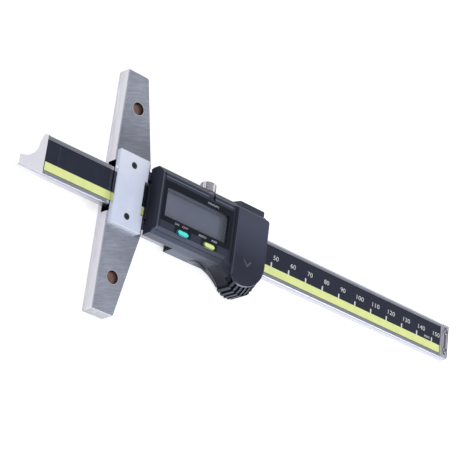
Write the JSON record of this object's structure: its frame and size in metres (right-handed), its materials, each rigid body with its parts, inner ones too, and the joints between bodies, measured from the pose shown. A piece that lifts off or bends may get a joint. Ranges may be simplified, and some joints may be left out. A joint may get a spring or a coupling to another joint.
{
  "type": "digital depth gauge",
  "caption": "Digital depth gauge: steel base with tapered arms, sliding scale beam with a measuring tip, and a display housing with keys, battery cover, thumb rest and lock screw.",
  "frame": {"origin": "on the base's measuring face, on the beam's centre line, in the rear plane that the gauge lies on", "axes": "+X along the beam towards its far end, +Y towards the lock screw, +Z out of the display"},
  "size_m": [0.2378, 0.1, 0.0137],
  "materials": {
    "ground_steel": "ground with fine marks",
    "satin_plate": "satin chrome",
    "dark_screw": "blackened steel",
    "bright_metal": "bright nickel",
    "brass_part": "plain",
    "scale_board": "glass-fibre board",
    "label_print": "printed film, navy above and yellow-green below",
    "housing_plastic": "fine moulded texture",
    "carrier_plastic": "moulded",
    "board": "solder mask",
    "pad_rubber": "moulded",
    "display_grey": "blank liquid crystal display",
    "clear_window": "clear",
    "bezel_gloss": "printed frame",
    "key_cyan": "moulded",
    "key_yellow": "moulded",
    "key_silver": "moulded",
    "cell_steel": "nickel-plated can",
    "socket_plastic": "moulded, with pins"
  },
  "bodies": {
    "slider": {"depth_base": "ground_steel", "retaining_plate": "satin_plate", "retaining_screws": "dark_screw", "gib": "ground_steel", "gib_screws": "dark_screw", "housing": "housing_plastic", "housing_screws": "dark_screw", "inner_frame": "carrier_plastic", "reader_head": "board", "circuit_board": "board", "contact_strips": "pad_rubber", "lcd_panel": "display_grey", "lcd_window": "clear_window", "display_bezel": "bezel_gloss", "key_pads": "pad_rubber", "battery": "cell_steel", "battery_contact_negative": "brass_part", "battery_contact_positive": "brass_part", "output_socket": "socket_plastic"},
    "beam": {"beam": "ground_steel", "scale_strip": "scale_board", "scale_label": "label_print", "end_stop": "satin_plate", "end_stop_screws": "bright_metal"},
    "clamp": {"clamp_shoe": "brass_part"},
    "lock": {"lock_screw": "bright_metal"},
    "on_off_key": {"on_off_button": "key_cyan"},
    "zero_key": {"zero_button": "key_yellow"},
    "origin_key": {"origin_button": "key_silver"},
    "cover": {"battery_cover": "housing_plastic"},
    "cap": {"output_cap": "housing_plastic"}
  },
  "joints": [
    {"name": "beam_slide", "type": "slide", "parent": "slider", "child": "beam", "axis": [-1, 0, 0], "range_m": [-0.0417, 0.1083]},
    {"name": "clamp_slide", "type": "slide", "parent": "slider", "child": "clamp", "axis": [0, 1, 0], "range_m": [-0.000083, 0.00025]},
    {"name": "lock_turn", "type": "hinge", "parent": "clamp", "child": "lock", "pos_m": [0.0486, 0.0178, 0.00385], "axis": [0, 1, 0], "range_deg": [-60, 180]},
    {"name": "on_off_press", "type": "slide", "parent": "slider", "child": "on_off_key", "axis": [0, 0, -1], "range_m": [0, 0.0005], "stiffness_N_per_m": 800, "springref_m": -0.0003},
    {"name": "zero_press", "type": "slide", "parent": "slider", "child": "zero_key", "axis": [0, 0, -1], "range_m": [0, 0.0005], "stiffness_N_per_m": 800, "springref_m": -0.0003},
    {"name": "origin_press", "type": "slide", "parent": "slider", "child": "origin_key", "axis": [0, 0, -1], "range_m": [0, 0.0005], "stiffness_N_per_m": 800, "springref_m": -0.0003},
    {"name": "cover_slide", "type": "slide", "parent": "slider", "child": "cover", "axis": [0, -1, 0], "range_m": [0, 0.036]},
    {"name": "cap_pull", "type": "slide", "parent": "slider", "child": "cap", "axis": [0, 1, 0], "range_m": [0, 0.006]}
  ],
  "couplings": [
    {"joint": "lock_turn", "follows": "clamp_slide", "rad_per_m": 12566}
  ]
}
